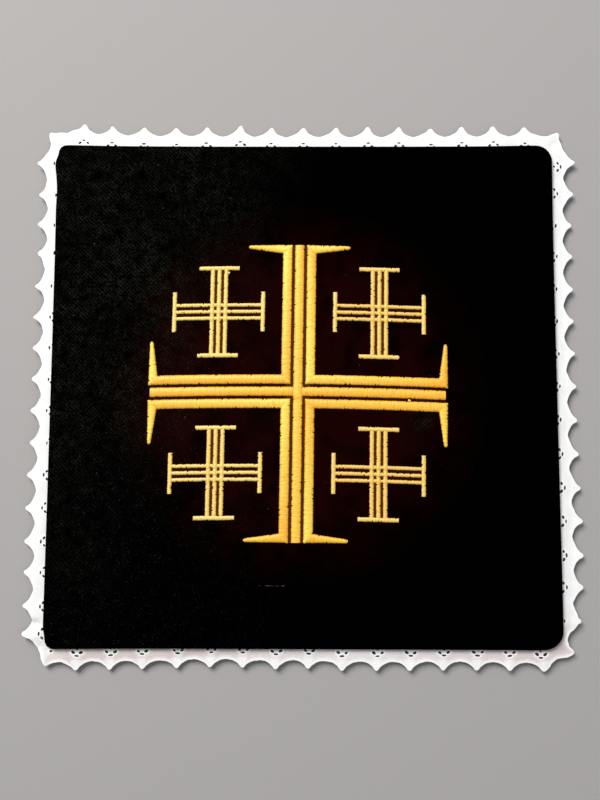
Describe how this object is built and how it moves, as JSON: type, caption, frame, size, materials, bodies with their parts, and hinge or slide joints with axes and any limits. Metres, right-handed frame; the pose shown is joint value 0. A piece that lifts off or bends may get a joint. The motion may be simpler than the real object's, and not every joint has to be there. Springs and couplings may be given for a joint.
{
  "type": "chalice pall",
  "caption": "Stiff square cover for a chalice: black cloth over a board, white scalloped eyelet lace round the edge and a raised gold cross embroidered on top.",
  "frame": {"origin": "the middle of the board's flat underside, on which the pall lies", "axes": "+Z out of the embroidered face, +Y towards the top of the cross, +X to its right"},
  "size_m": [0.1748, 0.1753, 0.0049],
  "materials": {
    "black_twill": "deep black fine twill with a few pale specks of lint",
    "white_cotton": "matt white cotton eyelet trim",
    "gold_thread": "golden yellow satin stitch with a soft sheen across the threads"
  },
  "bodies": {
    "root": {"panel": "black_twill", "lace_edging": "white_cotton", "cross_middle": "gold_thread", "cross_angle_ne": "gold_thread", "cross_angle_nw": "gold_thread", "cross_angle_sw": "gold_thread", "cross_angle_se": "gold_thread", "small_cross_ne": "gold_thread", "small_cross_nw": "gold_thread", "small_cross_sw": "gold_thread", "small_cross_se": "gold_thread"}
  },
  "joints": []
}
